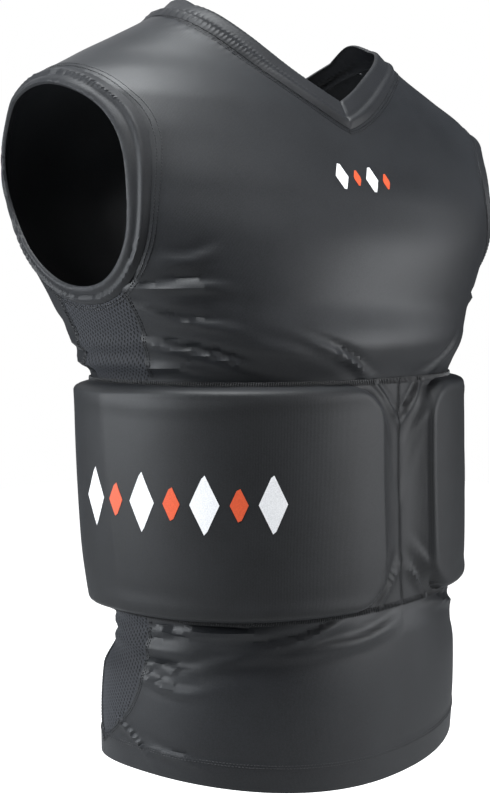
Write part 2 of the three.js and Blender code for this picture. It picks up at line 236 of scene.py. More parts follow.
def side_word(side):
    return "left" if side > 0 else "right"


SECTIONS = np.array(SECTION_TABLE, float)


def section(name, z):
    return smooth_column(SECTIONS[:, 0] * GARMENT_HEIGHT, SECTIONS[:, SECTION_COLUMNS.index(name)], z)


# The torso as a grid of points: a row each millimetre of height, columns by share of the way round.
ROW_LOW, ROW_COUNT, RING_COUNT = -12.0, 676, 720


def torso_grid():
    z = ROW_LOW + np.arange(ROW_COUNT)
    angle = np.linspace(-math.pi / 2, 1.5 * math.pi, RING_COUNT + 1)
    c, s = np.cos(angle)[None], np.sin(angle)[None]

    def column(name):
        return section(name, z)[:, None]

    power = 2 / np.where(s < 0, column("front_power"), column("back_power"))
    depth = np.where(s < 0, column("front"), column("back")) * CHEST_DEPTH / 2
    x = column("half_width") * SHOULDER_WIDTH / 2 * np.sign(c) * np.abs(c) ** power
    y = depth * np.sign(s) * np.abs(s) ** power + column("setback") * SHOULDER_SETBACK
    pieces = np.hypot(np.diff(x), np.diff(y))
    run = np.concatenate([np.zeros((ROW_COUNT, 1)), np.cumsum(pieces, axis=1)], axis=1)
    share = np.linspace(0, 1, RING_COUNT + 1)
    even_x, even_y = np.empty_like(x), np.empty_like(y)
    for row in range(ROW_COUNT):
        even_x[row] = np.interp(share * run[row, -1], run[row], x[row])
        even_y[row] = np.interp(share * run[row, -1], run[row], y[row])
    return even_x, even_y, run[:, -1]


GRID_X, GRID_Y, GIRTH = torso_grid()


def bilinear(grid, around, z):
    u = (around - np.floor(around)) * RING_COUNT
    v = np.clip(z - ROW_LOW, 0, ROW_COUNT - 1.001)
    i, j = np.minimum(u.astype(int), RING_COUNT - 1), v.astype(int)
    a, b = u - i, v - j
    low = grid[j, i] * (1 - a) + grid[j, i + 1] * a
    high = grid[j + 1, i] * (1 - a) + grid[j + 1, i + 1] * a
    return low * (1 - b) + high * b


def girth(z):
    return np.interp(z, ROW_LOW + np.arange(ROW_COUNT), GIRTH)


# The way from the centre front round either side, in millimetres.
def run_from_front(around, z):
    around = around % 1
    return np.where(around <= 0.5, around, 1 - around) * girth(z)


def torso(around, z):
    return np.stack([bilinear(GRID_X, around, z), bilinear(GRID_Y, around, z), z + 0 * around], -1)


def torso_normal(around, z):
    along = torso(around + 0.003, z) - torso(around - 0.003, z)
    up = torso(around, z + 1.5) - torso(around, z - 1.5)
    n = np.cross(along, up)
    return n / np.linalg.norm(n, axis=-1, keepdims=True)


def fold_rise(around, z):
    mirrored = np.minimum(around % 1, 1 - around % 1)
    rise = np.zeros_like(z)
    for height, spread, share, centre, reach in FOLD_TABLE:
        up = (z / GARMENT_HEIGHT - height) / spread
        along = (mirrored - centre) / reach
        rise += share * CHEST_DEPTH * np.exp(-up * up - along**4)
    return rise


def wrinkle_rise(around, z):
    run = run_from_front(around, z)
    side = np.where(around % 1 <= 0.5, 1, -1)
    rise = np.zeros_like(z)
    for which, along, height, half, slope, width, high in WRINKLE_TABLE:
        a = (run - along) / half
        lean = height + slope * (run - along) + 2.0 * np.sin(a * 2.2 + height)
        b = (z - lean) / (width * (1 + 0.25 * a * a))
        valleys = 0.75 * np.exp(-(((b - 1.5) / 0.8) ** 2)) + 0.2 * np.exp(-((b + 2) ** 2))
        one = high * (np.exp(-b * b) - valleys)
        rise += np.where(side == which, one * np.exp(-(a * a) ** 1.6), 0.0)
    return rise * WRINKLE_DEPTH


# How far the cloth under the band is pulled down in the middle and up at the sides.
def hem_shift(x, z):
    half = section("half_width", np.zeros(1))[0] * SHOULDER_WIDTH / 2
    fade = np.clip(1 - z / BAND_BOTTOM, 0, 1) ** 1.5
    return ((HEM_DROP + HEM_RISE) * (x / half) ** 2 - HEM_DROP) * fade


# Points in the frame: the worn pose turns and tilts the shoulders, then millimetres become metres.
def place(points):
    x, y, z = points[..., 0], points[..., 1], points[..., 2]
    turn = section("turn", z)
    angle = np.radians(turn * SHOULDER_TURN)
    c, s = np.cos(angle), np.sin(angle)
    armhole_top = ARMHOLE_BOTTOM + ARMHOLE_HEIGHT
    neck_share = smooth_step((z - armhole_top) / (GARMENT_HEIGHT - armhole_top))
    shoulder_slope = math.tan(math.radians(SHOULDER_TILT)) * np.clip(turn, 0, 1)
    neck_slope = math.tan(math.radians(NECK_TILT)) * neck_share
    raised = z - x * (shoulder_slope + neck_slope) + hem_shift(x, z)
    turned_x, turned_y = x * c - y * s, x * s + y * c
    return np.stack([turned_x, turned_y - SHOULDER_SETBACK, raised - SHOULDER_REST], -1) / 1000


# Signed distance to a closed outline, positive inside.
def inside(px, py, outline):
    best = np.full(px.shape, 1e9)
    winding = np.zeros(px.shape, bool)
    count = len(outline)
    for i in range(count):
        ax, ay = outline[i]
        bx, by = outline[(i + 1) % count]
        ex, ey = bx - ax, by - ay
        t = np.clip(((px - ax) * ex + (py - ay) * ey) / max(ex * ex + ey * ey, 1e-9), 0, 1)
        best = np.minimum(best, np.hypot(px - ax - t * ex, py - ay - t * ey))
        if ay != by:
            crosses = ((ay > py) != (by > py)) & (px < ex * (py - ay) / (by - ay) + ax)
            winding ^= crosses
    return np.where(winding, best, -best)


def armhole_outline():
    t = np.linspace(0, 2 * math.pi, 90, endpoint=False)
    c, s = np.cos(t), np.sin(t)
    y = ARMHOLE_CENTRE + ARMHOLE_LENGTH / 2 * np.sign(c) * np.abs(c) ** (2 / ARMHOLE_POWER)
    z = ARMHOLE_BOTTOM + ARMHOLE_HEIGHT / 2 * (1 + np.sign(s) * np.abs(s) ** (2 / ARMHOLE_POWER))
    return list(zip(y, z))


def neck_outline(bottom, power):
    share = np.linspace(0, 1, NECK_POINTS)
    right = list(zip(share * NECK_HALF_WIDTH, bottom + (NECK_SIDE_HEIGHT - bottom) * share**power))
    left = [(-x, z) for x, z in right[:0:-1]]
    top = GARMENT_HEIGHT * 1.3
    return right + [(NECK_HALF_WIDTH, top), (-NECK_HALF_WIDTH, top)] + left


def panel_outline():
    rows = np.array(PANEL_TABLE)
    heights = np.linspace(rows[-1, 0], rows[0, 0], 40)
    order = rows[::-1]
    half = PANEL_LENGTH / 2
    front = PANEL_CENTRE + half * smooth_column(order[:, 0], order[:, 1], heights)
    back = PANEL_CENTRE + half * smooth_column(order[:, 0], order[:, 2], heights)
    z = heights * ARMHOLE_BOTTOM
    tip = (PANEL_CENTRE + PANEL_TIP_SHARE * half, PANEL_TIP)
    return list(zip(front, z))[::-1] + [tip] + list(zip(back, z))


ARMHOLE = armhole_outline()
NECK_FRONT = neck_outline(NECK_SEAM_FRONT, NECK_POWER)
NECK_BACK = neck_outline(NECK_SEAM_BACK, 3.0)
PANEL = panel_outline()


def in_armhole(p):
    return inside(p[:, 1], p[:, 2], ARMHOLE)


def in_neck(p):
    front = inside(p[:, 0], p[:, 2], NECK_FRONT)
    back = inside(p[:, 0], p[:, 2], NECK_BACK)
    blend = np.clip((p[:, 1] - SHOULDER_SETBACK + NECK_BLEND) / (2 * NECK_BLEND), 0, 1)
    return front * (1 - blend) + back * blend


def in_panel(p):
    return inside(p[:, 1], p[:, 2], PANEL)


def in_front(p):
    tip = PANEL_CENTRE + PANEL_TIP_SHARE * PANEL_LENGTH / 2
    shoulder = SHOULDER_SETBACK + SHOULDER_SEAM_SETBACK
    heights = [PANEL_TIP * 2, ARMHOLE_BOTTOM * 0.9, ARMHOLE_BOTTOM + ARMHOLE_HEIGHT]
    seam = np.interp(p[:, 2], heights, [tip, PANEL_CENTRE, shoulder])
    return seam - p[:, 1]


# Two triangles for each cell of a grid of points.
def grid_triangles(columns, rows):
    i, j = np.meshgrid(np.arange(columns - 1), np.arange(rows - 1))
    a = (j * columns + i).ravel()
    lower = np.stack([a, a + 1, a + columns + 1], -1)
    upper = np.stack([a, a + columns + 1, a + columns], -1)
    return np.concatenate([lower, upper])


# Moves the points near the field's edge onto it, in place, so that the cut leaves few slivers.
def snap_to_edge(u, z, value, field, step):
    du, dz = 0.0008, 0.5
    for _ in range(3):
        near = np.abs(value) < 0.35 * step
        if not near.any():
            break
        un, zn = u[near], z[near]
        along = (field(torso(un + du, zn)) - field(torso(un - du, zn))) / (2 * du)
        up = (field(torso(un, zn + dz)) - field(torso(un, zn - dz))) / (2 * dz)
        scale = girth(zn)
        along = along / scale
        shift = value[near] / np.maximum(along * along + up * up, 0.05)
        u[near] -= np.clip(shift * along, -step, step) / scale
        z[near] -= np.clip(shift * up, -step, step)
        value[near] = field(torso(u[near], z[near]))
        value[np.abs(value) < 0.02] = 0.0
    value[np.abs(value) < 0.05] = 0.0


# Keeps the triangles where the value is positive, and cuts those that cross its edge.
def cut_triangles(u, z, tris, value):
    keep = (value[tris] >= 0).all(1) & (value[tris] > 0).any(1)
    mixed = (value[tris] > 0).any(1) & (value[tris] < 0).any(1)
    points, new_tris, cuts = [], [], {}

    def cut(p, q):
        key = (min(p, q), max(p, q))
        if key not in cuts:
            t = value[p] / (value[p] - value[q])
            points.append((u[p] + (u[q] - u[p]) * t, z[p] + (z[q] - z[p]) * t))
            cuts[key] = len(u) + len(points) - 1
        return cuts[key]

    for tri in tris[mixed]:
        loop = []
        for k in range(3):
            p, q = int(tri[k]), int(tri[(k + 1) % 3])
            if value[p] >= 0:
                loop.append(p)
            if value[p] * value[q] < 0:
                loop.append(cut(p, q))
        for k in range(1, len(loop) - 1):
            new_tris.append((loop[0], loop[k], loop[k + 1]))
    tris = np.concatenate([tris[keep], np.array(new_tris, int).reshape(-1, 3)])
    if points:
        u = np.concatenate([u, [p[0] for p in points]])
        z = np.concatenate([z, [p[1] for p in points]])
    used, back = np.unique(tris, return_inverse=True)
    return u[used], z[used], back.reshape(-1, 3)


# A grid of cloth cut to the region where the field is positive.
def cut_grid(us, zs, field, step):
    u, z = (axis.ravel() for axis in np.meshgrid(us, zs))
    value = field(torso(u, z))
    snap_to_edge(u, z, value, field, step)
    return cut_triangles(u, z, grid_triangles(len(us), len(zs)), value)


# Closes a sheet into a solid: outer and inner points share the triangles, and the border is walled.
def closed(outer, inner, tris):
    count = len(outer)
    edges = np.concatenate([tris[:, [0, 1]], tris[:, [1, 2]], tris[:, [2, 0]]])
    keys = edges[:, 0] * np.int64(count) + edges[:, 1]
    twins = edges[:, 1] * np.int64(count) + edges[:, 0]
    border = edges[~np.isin(keys, twins)]
    walls_a = np.stack([border[:, 1], border[:, 0], border[:, 0] + count], -1)
    walls_b = np.stack([border[:, 1], border[:, 0] + count, border[:, 1] + count], -1)
    faces = np.concatenate([tris, tris[:, ::-1] + count, walls_a, walls_b])
    return np.concatenate([outer, inner]), faces


def make_object(name, points, faces, material, uv=None, smooth=True):
    mesh = bpy.data.meshes.new(name)
    mesh.vertices.add(len(points))
    mesh.vertices.foreach_set("co", np.asarray(points, np.float32).ravel())
    faces = np.asarray(faces, np.int32)
    mesh.loops.add(faces.size)
    mesh.loops.foreach_set("vertex_index", faces.ravel())
    mesh.polygons.add(len(faces))
    mesh.polygons.foreach_set("loop_start", np.arange(0, faces.size, faces.shape[1], dtype=np.int32))
    mesh.update(calc_edges=True)
    mesh.validate()
    if uv is not None:
        layer = mesh.uv_layers.new(name="UVMap")
        index = np.empty(len(mesh.loops), np.int32)
        mesh.loops.foreach_get("vertex_index", index)
        layer.data.foreach_set("uv", np.asarray(uv, np.float32)[index].ravel())
    if smooth:
        mesh.polygons.foreach_set("use_smooth", np.ones(len(mesh.polygons), bool))
        mesh.set_sharp_from_angle(angle=math.radians(50))
    obj = bpy.data.objects.new(name, mesh)
    bpy.context.scene.collection.objects.link(obj)
    mesh.materials.append(material)
    return obj


def flat_uv(u, z):
    around = u % 1
    run = np.where(around <= 0.5, around, around - 1) * girth(z)
    return np.stack([run, z], -1) / 1000


# A sheet on the torso: rise is the height of its outer face over the body, and wall its thickness.
def sheet_object(name, around, z, tris, rise, wall, material):
    base, normal = torso(around, z), torso_normal(around, z)
    out = base + normal * rise[:, None]
    under = base + normal * (rise - wall)[:, None]
    points, faces = closed(place(out), place(under), tris)
    uv = flat_uv(around, z)
    return make_object(name, points, faces, material, np.concatenate([uv, uv]))


def cloth_object(name, us, zs, field, step, outer, wall, material):
    u, z, tris = cut_grid(us, zs, field, step)
    return sheet_object(name, u, z, tris, outer(u, z, torso(u, z)), wall, material)


# Materials.
def node_material(name):
    material = bpy.data.materials.new(name)
    material.use_nodes = True
    nodes, links = material.node_tree.nodes, material.node_tree.links
    return material, nodes, links, nodes["Principled BSDF"]


def add(nodes, kind, **values):
    node = nodes.new(kind)
    for key, value in values.items():
        setattr(node, key, value)
    return node


def math_node(nodes, links, operation, a, b=None):
    node = add(nodes, "ShaderNodeMath", operation=operation)
    for socket, value in zip(node.inputs, (a, b)):
        if value is None:
            continue
        if isinstance(value, (int, float)):
            socket.default_value = value
        else:
            links.new(value, socket)
    return node.outputs[0]


def uv_axes(nodes, links):
    uv = add(nodes, "ShaderNodeUVMap", uv_map="UVMap")
    split = add(nodes, "ShaderNodeSeparateXYZ")
    links.new(uv.outputs["UV"], split.inputs[0])
    return split.outputs[0], split.outputs[1]


def wave(nodes, links, value, pitch):
    scaled = math_node(nodes, links, "MULTIPLY", value, 2 * math.pi / pitch)
    return math_node(nodes, links, "SINE", scaled)


def mix_colors(nodes, links, factor, a, b):
    mix = add(nodes, "ShaderNodeMix", data_type="RGBA")
    links.new(factor, mix.inputs[0])
    for socket, value in ((mix.inputs[6], a), (mix.inputs[7], b)):
        if isinstance(value, tuple):
            socket.default_value = (*value, 1)
        else:
            links.new(value, socket)
    return mix.outputs[2]


def cloud(nodes, links, scale, detail=3.0, low=0.35, high=0.65):
    coords = add(nodes, "ShaderNodeTexCoord")
    noise = add(nodes, "ShaderNodeTexNoise")
    noise.inputs["Scale"].default_value = scale
    noise.inputs["Detail"].default_value = detail
    links.new(coords.outputs["Object"], noise.inputs["Vector"])
    ramp = add(nodes, "ShaderNodeMapRange")
    ramp.inputs["From Min"].default_value = low
    ramp.inputs["From Max"].default_value = high
    links.new(noise.outputs["Fac"], ramp.inputs["Value"])
    return ramp.outputs[0]


def bump_chain(nodes, links, shader, layers):
    normal = None
    for height, strength, distance in layers:
        bump = add(nodes, "ShaderNodeBump")
        bump.inputs["Strength"].default_value = strength
        bump.inputs["Distance"].default_value = distance
        links.new(height, bump.inputs["Height"])
        if normal is not None:
            links.new(normal, bump.inputs["Normal"])
        normal = bump.outputs[0]
    links.new(normal, shader.inputs["Normal"])


def set_cloth(shader, roughness, sheen, specular):
    shader.inputs["Roughness"].default_value = roughness
    shader.inputs["Specular IOR Level"].default_value = specular
    shader.inputs["Sheen Weight"].default_value = sheen
    shader.inputs["Sheen Roughness"].default_value = 0.45
    shader.inputs["Sheen Tint"].default_value = (0.75, 0.82, 0.95, 1)


def knit_material(name, dark, light, roughness=0.5, sheen=0.02, specular=0.3, pitch=0.0011):
    material, nodes, links, shader = node_material(name)
    x, y = uv_axes(nodes, links)
    rib = wave(nodes, links, x, pitch)
    row = wave(nodes, links, y, pitch * 0.8)
    loops = math_node(nodes, links, "MULTIPLY", rib, row)
    tone = cloud(nodes, links, 26)
    fibre = cloud(nodes, links, 900, 2.0)
    base = mix_colors(nodes, links, tone, dark, light)
    pale = tuple(c * 2.2 for c in light)
    speckle = mix_colors(nodes, links, math_node(nodes, links, "MULTIPLY", fibre, 0.35), base, pale)
    links.new(speckle, shader.inputs["Base Color"])
    set_cloth(shader, roughness, sheen, specular)
    bump_chain(nodes, links, shader, [(loops, 0.22, 0.00012), (rib, 0.14, 0.00015), (fibre, 0.12, 0.0001)])
    return material


def mesh_material(name, dark, light, pitch=0.0041):
    material, nodes, links, shader = node_material(name)
    x, y = uv_axes(nodes, links)
    lean = math_node(nodes, links, "ADD", x, math_node(nodes, links, "MULTIPLY", y, 0.22))
    sheared = math_node(nodes, links, "ADD", y, math_node(nodes, links, "MULTIPLY", x, -0.3))
    rise = math_node(nodes, links, "MULTIPLY", sheared, 0.7)
    rising = wave(nodes, links, math_node(nodes, links, "ADD", lean, rise), pitch)
    falling = wave(nodes, links, math_node(nodes, links, "SUBTRACT", lean, rise), pitch)
    eye = math_node(nodes, links, "ADD", rising, falling)
    # The holes are painted near black: painted shade for the dark inside of the shirt seen through them. The
    # same mask also sinks them by bump.
    shaded_hole = add(nodes, "ShaderNodeMapRange", interpolation_type="SMOOTHSTEP")
    shaded_hole.inputs["From Min"].default_value = 0.15
    shaded_hole.inputs["From Max"].default_value = 1.1
    links.new(eye, shaded_hole.inputs["Value"])
    thread = wave(nodes, links, y, 0.0009)
    shade = tuple(c * 0.6 for c in light)
    cord = mix_colors(nodes, links, math_node(nodes, links, "ABSOLUTE", thread), light, shade)
    links.new(mix_colors(nodes, links, shaded_hole.outputs[0], cord, dark), shader.inputs["Base Color"])
    set_cloth(shader, 0.72, 0.05, 0.25)
    height = math_node(nodes, links, "MULTIPLY", shaded_hole.outputs[0], -1.0)
    bump_chain(nodes, links, shader, [(height, 0.9, 0.0008), (thread, 0.25, 0.0001)])
    return material


def plain_material(name, color, roughness, specular=0.4, grain=600, strength=0.15):
    material, nodes, links, shader = node_material(name)
    tone = cloud(nodes, links, grain, 2.0)
    shade = tuple(c * 0.82 for c in color)
    links.new(mix_colors(nodes, links, tone, color, shade), shader.inputs["Base Color"])
    shader.inputs["Roughness"].default_value = roughness
    shader.inputs["Specular IOR Level"].default_value = specular
    bump_chain(nodes, links, shader, [(tone, strength, 0.0001)])
    return material


STRETCH = knit_material("stretch_knit", (0.0062, 0.0068, 0.008), (0.0092, 0.01, 0.0115))
COVER = knit_material("cover_knit", (0.005, 0.0054, 0.006), (0.0075, 0.008, 0.009), roughness=0.56)
BAND_DARK, BAND_LIGHT = (0.0055, 0.006, 0.007), (0.0085, 0.009, 0.0105)
BAND = knit_material("band_knit", BAND_DARK, BAND_LIGHT, roughness=0.55, pitch=0.0009)
# The mesh's first colour is painted shade in its holes, darker than any cloth.
MESH = mesh_material("open_mesh_knit", (0.0015, 0.0016, 0.002), (0.034, 0.036, 0.042))
THREAD = plain_material("seam_thread", (0.0105, 0.0112, 0.013), 0.5, specular=0.35)
FOAM = plain_material("closed_cell_foam", (0.05, 0.051, 0.055), 0.85, grain=300, strength=0.5)
WHITE = plain_material("print_white", (0.78, 0.78, 0.79), 0.5, grain=1100, strength=0.3)
ORANGE = plain_material("print_orange", (0.62, 0.085, 0.028), 0.5, grain=1100, strength=0.3)

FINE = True
STEP = 3.6 if FINE else 5.0
NARROW_STEP = 1.9 if FINE else 3.0
COVER_STEP = 4.4 if FINE else 6.5
FOAM_STEP = 8.0
MEAN_GIRTH = 1150.0


def share_steps(low, high, step):
    return np.linspace(low, high, max(4, int(round((high - low) * MEAN_GIRTH / step))))


def height_steps(low, high, step):
    return np.linspace(low, high, max(4, int(round((high - low) / step))))


# Body panels: a dip at each seam, a ridge of turned cloth beside it, and a doubled hem.
def body_rise(u, z, p):
    rise = fold_rise(u, z) + wrinkle_rise(u, z)
    covered = (z > BAND_BOTTOM - 3) & (z < BAND_TOP + 3)
    rise = np.where(covered, np.minimum(rise, 0.0), rise)
    for distance in (-in_armhole(p), -in_neck(p)):
        rise += ridge(distance, 0.0, 1.6, -0.7) + ridge(distance, 4.0, 2.4, 0.55)
    panel = -in_panel(p)
    beside = ridge(panel, 3.2, 1.8, 0.35) + ridge(panel, 0.0, 1.6, -0.4)
    rise += np.where(np.abs(p[:, 0]) > 60, beside, 0)
    hem = np.clip((HEM_FOLD - z) / 2.0, 0, 1)
    return rise + 0.55 * hem + ridge(z, HEM_FOLD, 1.4, -0.5)


def body_panel(name, low, high, front):
    def field(p):
        value = np.minimum(-in_armhole(p), -in_neck(p))
        value = np.minimum(value, -in_panel(p))
        side = in_front(p) if front else -in_front(p)
        return np.minimum(value, side) - SEAM_HALF_GAP

    us, zs = share_steps(low, high, STEP), height_steps(0, 640, STEP)
    return cloth_object(name, us, zs, field, STEP, body_rise, CLOTH_WALL, STRETCH)


def mesh_rise(u, z, p):
    return body_rise(u, z, p) - MESH_DROP


def side_mesh(side):
    def field(p):
        return np.minimum(in_panel(p) + MESH_LAP, -in_armhole(p) - SEAM_HALF_GAP)

    low, high = (0.14, 0.36) if side > 0 else (0.64, 0.86)
    name = f"side_mesh_{side_word(side)}_cloth"
    step = STEP * 0.75
    us, zs = share_steps(low, high, step), height_steps(10, 410, step)
    return cloth_object(name, us, zs, field, step, mesh_rise, CLOTH_WALL, MESH)


# Collar and armhole bands. w is the way from the seam into the opening.
def band_profile(w, width):
    seam = min(width * 0.45, COLLAR_SEAM)
    roll = ridge(w, seam * 0.5, seam * 0.32, 2.2)
    groove = ridge(w, seam, 1.1, -1.0)
    edge = -1.3 * np.clip(1 - (width - w) / 1.6, 0, 1) ** 2
    start = -0.7 * np.clip(1 - (w + BAND_LIP) / 1.4, 0, 1) ** 2
    return BAND_PROUD + roll + groove + edge + start


def collar_rise(u, z, p):
    w = in_neck(p)
    mitre = ridge(p[:, 0], 0.0, 1.1, -1.1) * (p[:, 1] < 0)
    return band_profile(w, COLLAR_WIDTH) + mitre * np.clip(w / 3, 0, 1)


def armhole_rise(u, z, p):
    return band_profile(in_armhole(p), ARMHOLE_BAND)


def collar():
    def field(p):
        w = in_neck(p)
        return np.minimum(w + BAND_LIP, COLLAR_WIDTH - w)

    us, zs = share_steps(0, 1, NARROW_STEP), height_steps(530, 661, NARROW_STEP)
    return cloth_object("collar_cloth", us, zs, field, NARROW_STEP, collar_rise, BAND_WALL, BAND)


def armhole_band(side):
    def field(p):
        w = in_armhole(p)
        return np.minimum(w + BAND_LIP, ARMHOLE_BAND - w)

    low, high = (0.08, 0.42) if side > 0 else (0.58, 0.92)
    name = f"armhole_{side_word(side)}_cloth"
    us, zs = share_steps(low, high, NARROW_STEP), height_steps(388, 580, NARROW_STEP)
    return cloth_object(name, us, zs, field, NARROW_STEP, armhole_rise, BAND_WALL, BAND)


# Rib pads and their covers. run is the way from the centre front, in millimetres.
def half_girth(z):
    return girth(z) / 2


def pad_distance(run, z):
    low, high = PAD_FRONT, half_girth(z) - PAD_BACK
    middle = (low + high) / 2
    corner = np.where(run < middle, PAD_FRONT_CORNER, PAD_BACK_CORNER)
    qx = np.abs(run - middle) - (high - low) / 2 + corner
    qz = np.abs(z - (BAND_BOTTOM + BAND_TOP) / 2) - BAND_HEIGHT / 2 + corner
    outside = np.hypot(np.maximum(qx, 0), np.maximum(qz, 0))
    return -(outside + np.minimum(np.maximum(qx, qz), 0) - corner)


def cover_height(run, z):
    d = pad_distance(run, z)
    top = LAYER_GAP + PAD_THICKNESS + 0.4
    shoulder = 6.5
    t = np.clip((d + 1.2) / (shoulder + 1.2), 0, 1)
    rounded = np.sqrt(np.clip(1 - (1 - t) ** 2.6, 0, 1))
    height = LAYER_GAP + (top - LAYER_GAP) * rounded
    middle = (z - BAND_BOTTOM) / BAND_HEIGHT
    height += 0.8 * np.sin(np.clip(middle, 0, 1) * math.pi) * smooth_step(d / 40)
    web = np.clip(1 - np.clip(-d, 0, None) / (PAD_FRONT - 3), 0, 1) ** 2
    window = smooth_step((z - BAND_BOTTOM) / 22) * smooth_step((BAND_TOP - z) / 22)
    front = smooth_step((110 - run) / 30)
    height = np.maximum(height, LAYER_GAP + 9.5 * web * window * front)
    return height


# Pulls in the cover: webs from the pad's front corners, and shallow sags along its face. Run and height of
# the middle, half length, slope, half width, rise.
WEB_TABLE = [
    [20, 314, 26, 1.05, 3.2, 1.5],
    [12, 304, 24, 1.15, 3.0, 1.2],
    [27, 296, 22, 1.3, 3.4, 1.1],
    [20, 154, 26, -1.05, 3.2, 1.4],
    [12, 164, 24, -1.15, 3.0, 1.1],
    [26, 174, 22, -1.3, 3.4, 1.0],
    [14, 250, 40, 2.6, 4.0, 0.5],
    [120, 316, 90, -0.03, 4.0, 0.5],
    [230, 312, 70, 0.04, 5.0, 0.6],
    [180, 152, 110, 0.03, 5.0, 0.5],
]


def cover_wrinkles(run, z):
    rise = np.zeros_like(z)
    for along, height, half, slope, width, high in WEB_TABLE:
        tilt = math.atan(slope)
        dx, dz = run - along, z - height
        a = (dx * math.cos(tilt) + dz * math.sin(tilt)) / half
        b = (dz * math.cos(tilt) - dx * math.sin(tilt)) / width
        rise += high * (np.exp(-b * b) - 0.5 * np.exp(-((b - 1.8) ** 2))) * np.exp(-(a**4))
    return rise


# The pad's bend along an upright line at each side, given to the cover's face only, so it turns there in two
# flatter facets.
def crease(run, z):
    line = 252.0 + (z - BAND_BOTTOM) * 0.11
    return 4.2 * np.exp(-np.sqrt((run - line) ** 2 + 2.0) / 27.0)


def steps_with_edges(low, high, edges, coarse, fine, reach):
    values = [low]
    while values[-1] < high - 1e-6:
        near = min(abs(values[-1] - e) for e in edges)
        step = fine if near < reach else min(coarse, fine + (near - reach) * 0.3)
        values.append(min(values[-1] + step, high))
    return np.array(values)


def band_mesh(name, side, low, high, z_low, z_high, outer, wall, material, step, clip=None):
    mean_half = float(half_girth(np.array([(z_low + z_high) / 2]))[0])
    ends = [PAD_FRONT, mean_half - PAD_BACK]
    shares = steps_with_edges(low, mean_half - high, ends, step, step * 0.45, 8) / mean_half
    zs = steps_with_edges(z_low, z_high, [BAND_BOTTOM, BAND_TOP], step, step * 0.4, 7)
    share, z = (axis.ravel() for axis in np.meshgrid(shares, zs))
    run = share * half_girth(z)
    tris = grid_triangles(len(shares), len(zs))
    if clip is not None:
        tris = tris[(clip(run, z)[tris] > 0).all(1)]
        used, back = np.unique(tris, return_inverse=True)
        tris, run, z, share = back.reshape(-1, 3), run[used], z[used], share[used]
    around = share / 2 if side > 0 else 1 - share / 2
    if side < 0:
        tris = tris[:, ::-1]
    return sheet_object(name, around, z, tris, outer(run, z), wall(run, z), material)


def cover_outer(run, z):
    bend = crease(run, z) * smooth_step(pad_distance(run, z) / 6)
    return cover_height(run, z) + COVER_WALL + cover_wrinkles(run, z) * 1.2 + bend


def pocket_cover(side):
    name = f"pocket_{side_word(side)}_cloth"
    low, high = BAND_BOTTOM - FLANGE, BAND_TOP + FLANGE
    wall = lambda run, z: COVER_WALL
    return band_mesh(name, side, 0.25, 0.25, low, high, cover_outer, wall, COVER, COVER_STEP)


def foam_plate(side):
    name = f"foam_plate_{side_word(side)}"
    outer = lambda run, z: np.maximum(cover_height(run, z) - 1.6, LAYER_GAP + 1.2)
    wall = lambda run, z: outer(run, z) - LAYER_GAP
    clip = lambda run, z: pad_distance(run, z) - 1.0
    low, high = BAND_BOTTOM, BAND_TOP
    return band_mesh(name, side, PAD_FRONT, PAD_BACK, low, high, outer, wall, FOAM, FOAM_STEP, clip)


# Stitches: short capsules of thread laid along a path of surface points.
def capsules(name, starts, ends, radius, material):
    sides, rings = 5, [(0.0, 0.35), (0.22, 1.0), (0.78, 1.0), (1.0, 0.35)]
    axis = ends - starts
    length = np.linalg.norm(axis, axis=1, keepdims=True)
    axis = axis / np.maximum(length, 1e-9)
    helper = np.where(np.abs(axis[:, [2]]) < 0.9, np.array([[0, 0, 1.0]]), np.array([[1.0, 0, 0]]))
    first = np.cross(axis, helper)
    first /= np.linalg.norm(first, axis=1, keepdims=True)
    second = np.cross(axis, first)
    points = []
    for share, size in rings:
        centre = starts + axis * length * share
        for k in range(sides):
            t = 2 * math.pi * k / sides
            points.append(centre + (first * math.cos(t) + second * math.sin(t)) * radius * size)
    points = np.stack(points, 1)
    per = points.shape[1]
    faces = []
    for r in range(len(rings) - 1):
        for k in range(sides):
            a, b = r * sides + k, r * sides + (k + 1) % sides
            faces += [(a, b, b + sides), (a, b + sides, a + sides)]
    for k in range(1, sides - 1):
        faces.append((0, k + 1, k))
        top = (len(rings) - 1) * sides
        faces.append((top, top + k, top + k + 1))
    faces = np.array(faces)
    offsets = (np.arange(len(points)) * per)[:, None, None]
    return make_object(name, points.reshape(-1, 3), (faces[None] + offsets).reshape(-1, 3), material)


def resample(points, spacing):
    gaps = np.linalg.norm(np.diff(points, axis=0), axis=1)
    run = np.concatenate([[0], np.cumsum(gaps)])
    count = max(2, int(run[-1] / spacing))
    at = (np.arange(count) + 0.5) * run[-1] / count
    return np.stack([np.interp(at, run, points[:, k]) for k in range(3)], -1)


# The shares around at which the torso's grid of X or of Y has the wanted values, at the heights z.
def around_where(grid, wanted, z, shares):
    result = np.empty(len(wanted))
    for i in range(len(wanted)):
        line = bilinear(grid, shares % 1, np.full(len(shares), z[i]))
        result[i] = np.interp(wanted[i], line, shares)
    return result


def around_for_y(side):
    shares = np.linspace(0.0 if side > 0 else 1.0, 0.5, SEARCH_COUNT)
    return lambda y, z: around_where(GRID_Y, y, z, shares)


def around_for_x(front):
    ends = (-0.25, 0.25) if front else (0.75, 0.25)
    shares = np.linspace(*ends, SEARCH_COUNT)
    return lambda x, z: around_where(GRID_X, x, z, shares)


def outline_shift(outline, distance):
    points = np.array(outline, float)
    before, after = np.roll(points, 1, 0), np.roll(points, -1, 0)
    along = after - before
    along /= np.linalg.norm(along, axis=1, keepdims=True)
    return points + np.stack([along[:, 1], -along[:, 0]], -1) * distance


def on_surface(around, z, rise):
    base, normal = torso(around, z), torso_normal(around, z)
    return base + normal * rise[:, None]


def run_stitches(name, path, spacing=2.8, length=0.72, radius=0.36):
    dense = resample(path, spacing / 2)
    starts = dense[:-1:2]
    ends = starts + (dense[1::2][: len(starts)] - starts[: len(dense[1::2])]) * 2 * length
    return capsules(name, place(starts), place(ends), radius / 1000, THREAD)


